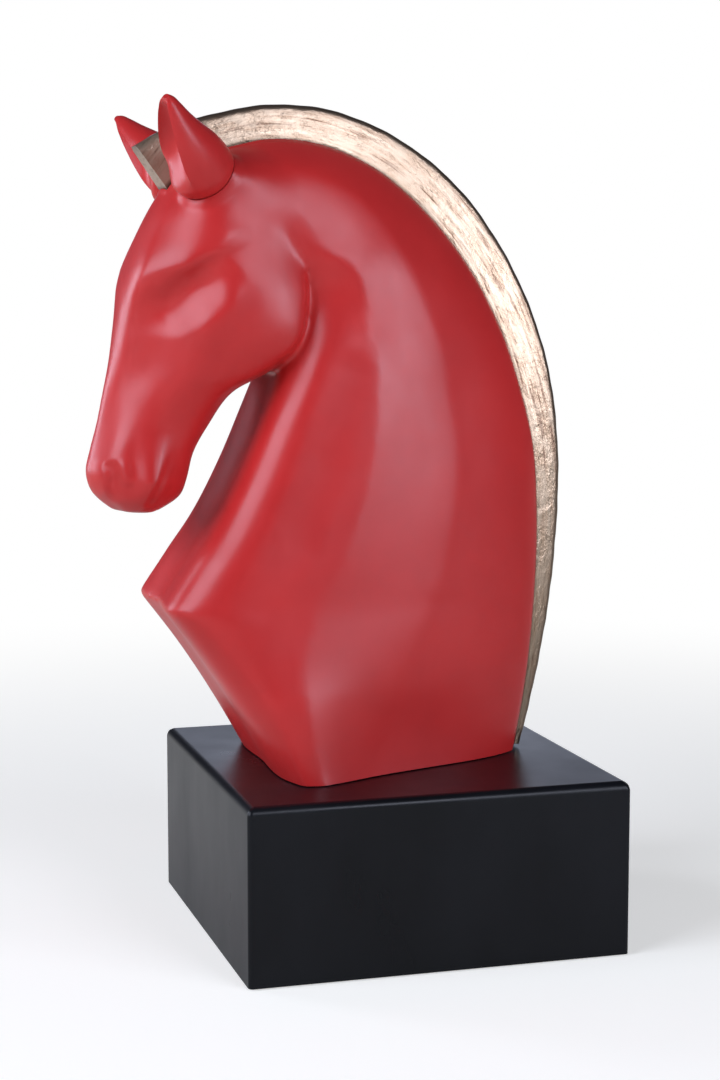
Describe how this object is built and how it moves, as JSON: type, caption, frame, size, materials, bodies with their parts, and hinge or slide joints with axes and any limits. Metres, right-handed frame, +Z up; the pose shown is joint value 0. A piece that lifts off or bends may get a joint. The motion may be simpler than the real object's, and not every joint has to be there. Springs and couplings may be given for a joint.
{
  "type": "horse head figurine",
  "caption": "Stylised faceted horse-head bust in red resin with a gold crest strip for a mane, bolted from below to a black square block with a felt base.",
  "frame": {"origin": "centre of the felt's underside, where the figurine rests on a table", "axes": "+Z up, the horse looks along -X, its left side is -Y"},
  "size_m": [0.143, 0.11, 0.2378],
  "materials": {
    "red_resin": "satin red paint over cast resin",
    "gold_paint": "rubbed champagne gold paint over cast resin",
    "black_lacquer": "smooth black lacquer over board",
    "felt": "black pressed felt",
    "steel": "zinc plated",
    "brass_insert": "plain turned"
  },
  "bodies": {
    "root": {"horse_bust": "red_resin", "ear_left": "red_resin", "ear_right": "red_resin", "mane": "gold_paint", "block": "black_lacquer", "felt_pad": "felt", "bolt_front": "steel", "bolt_rear": "steel", "washer_front": "steel", "washer_rear": "steel", "insert_front": "brass_insert", "insert_rear": "brass_insert"}
  },
  "joints": []
}
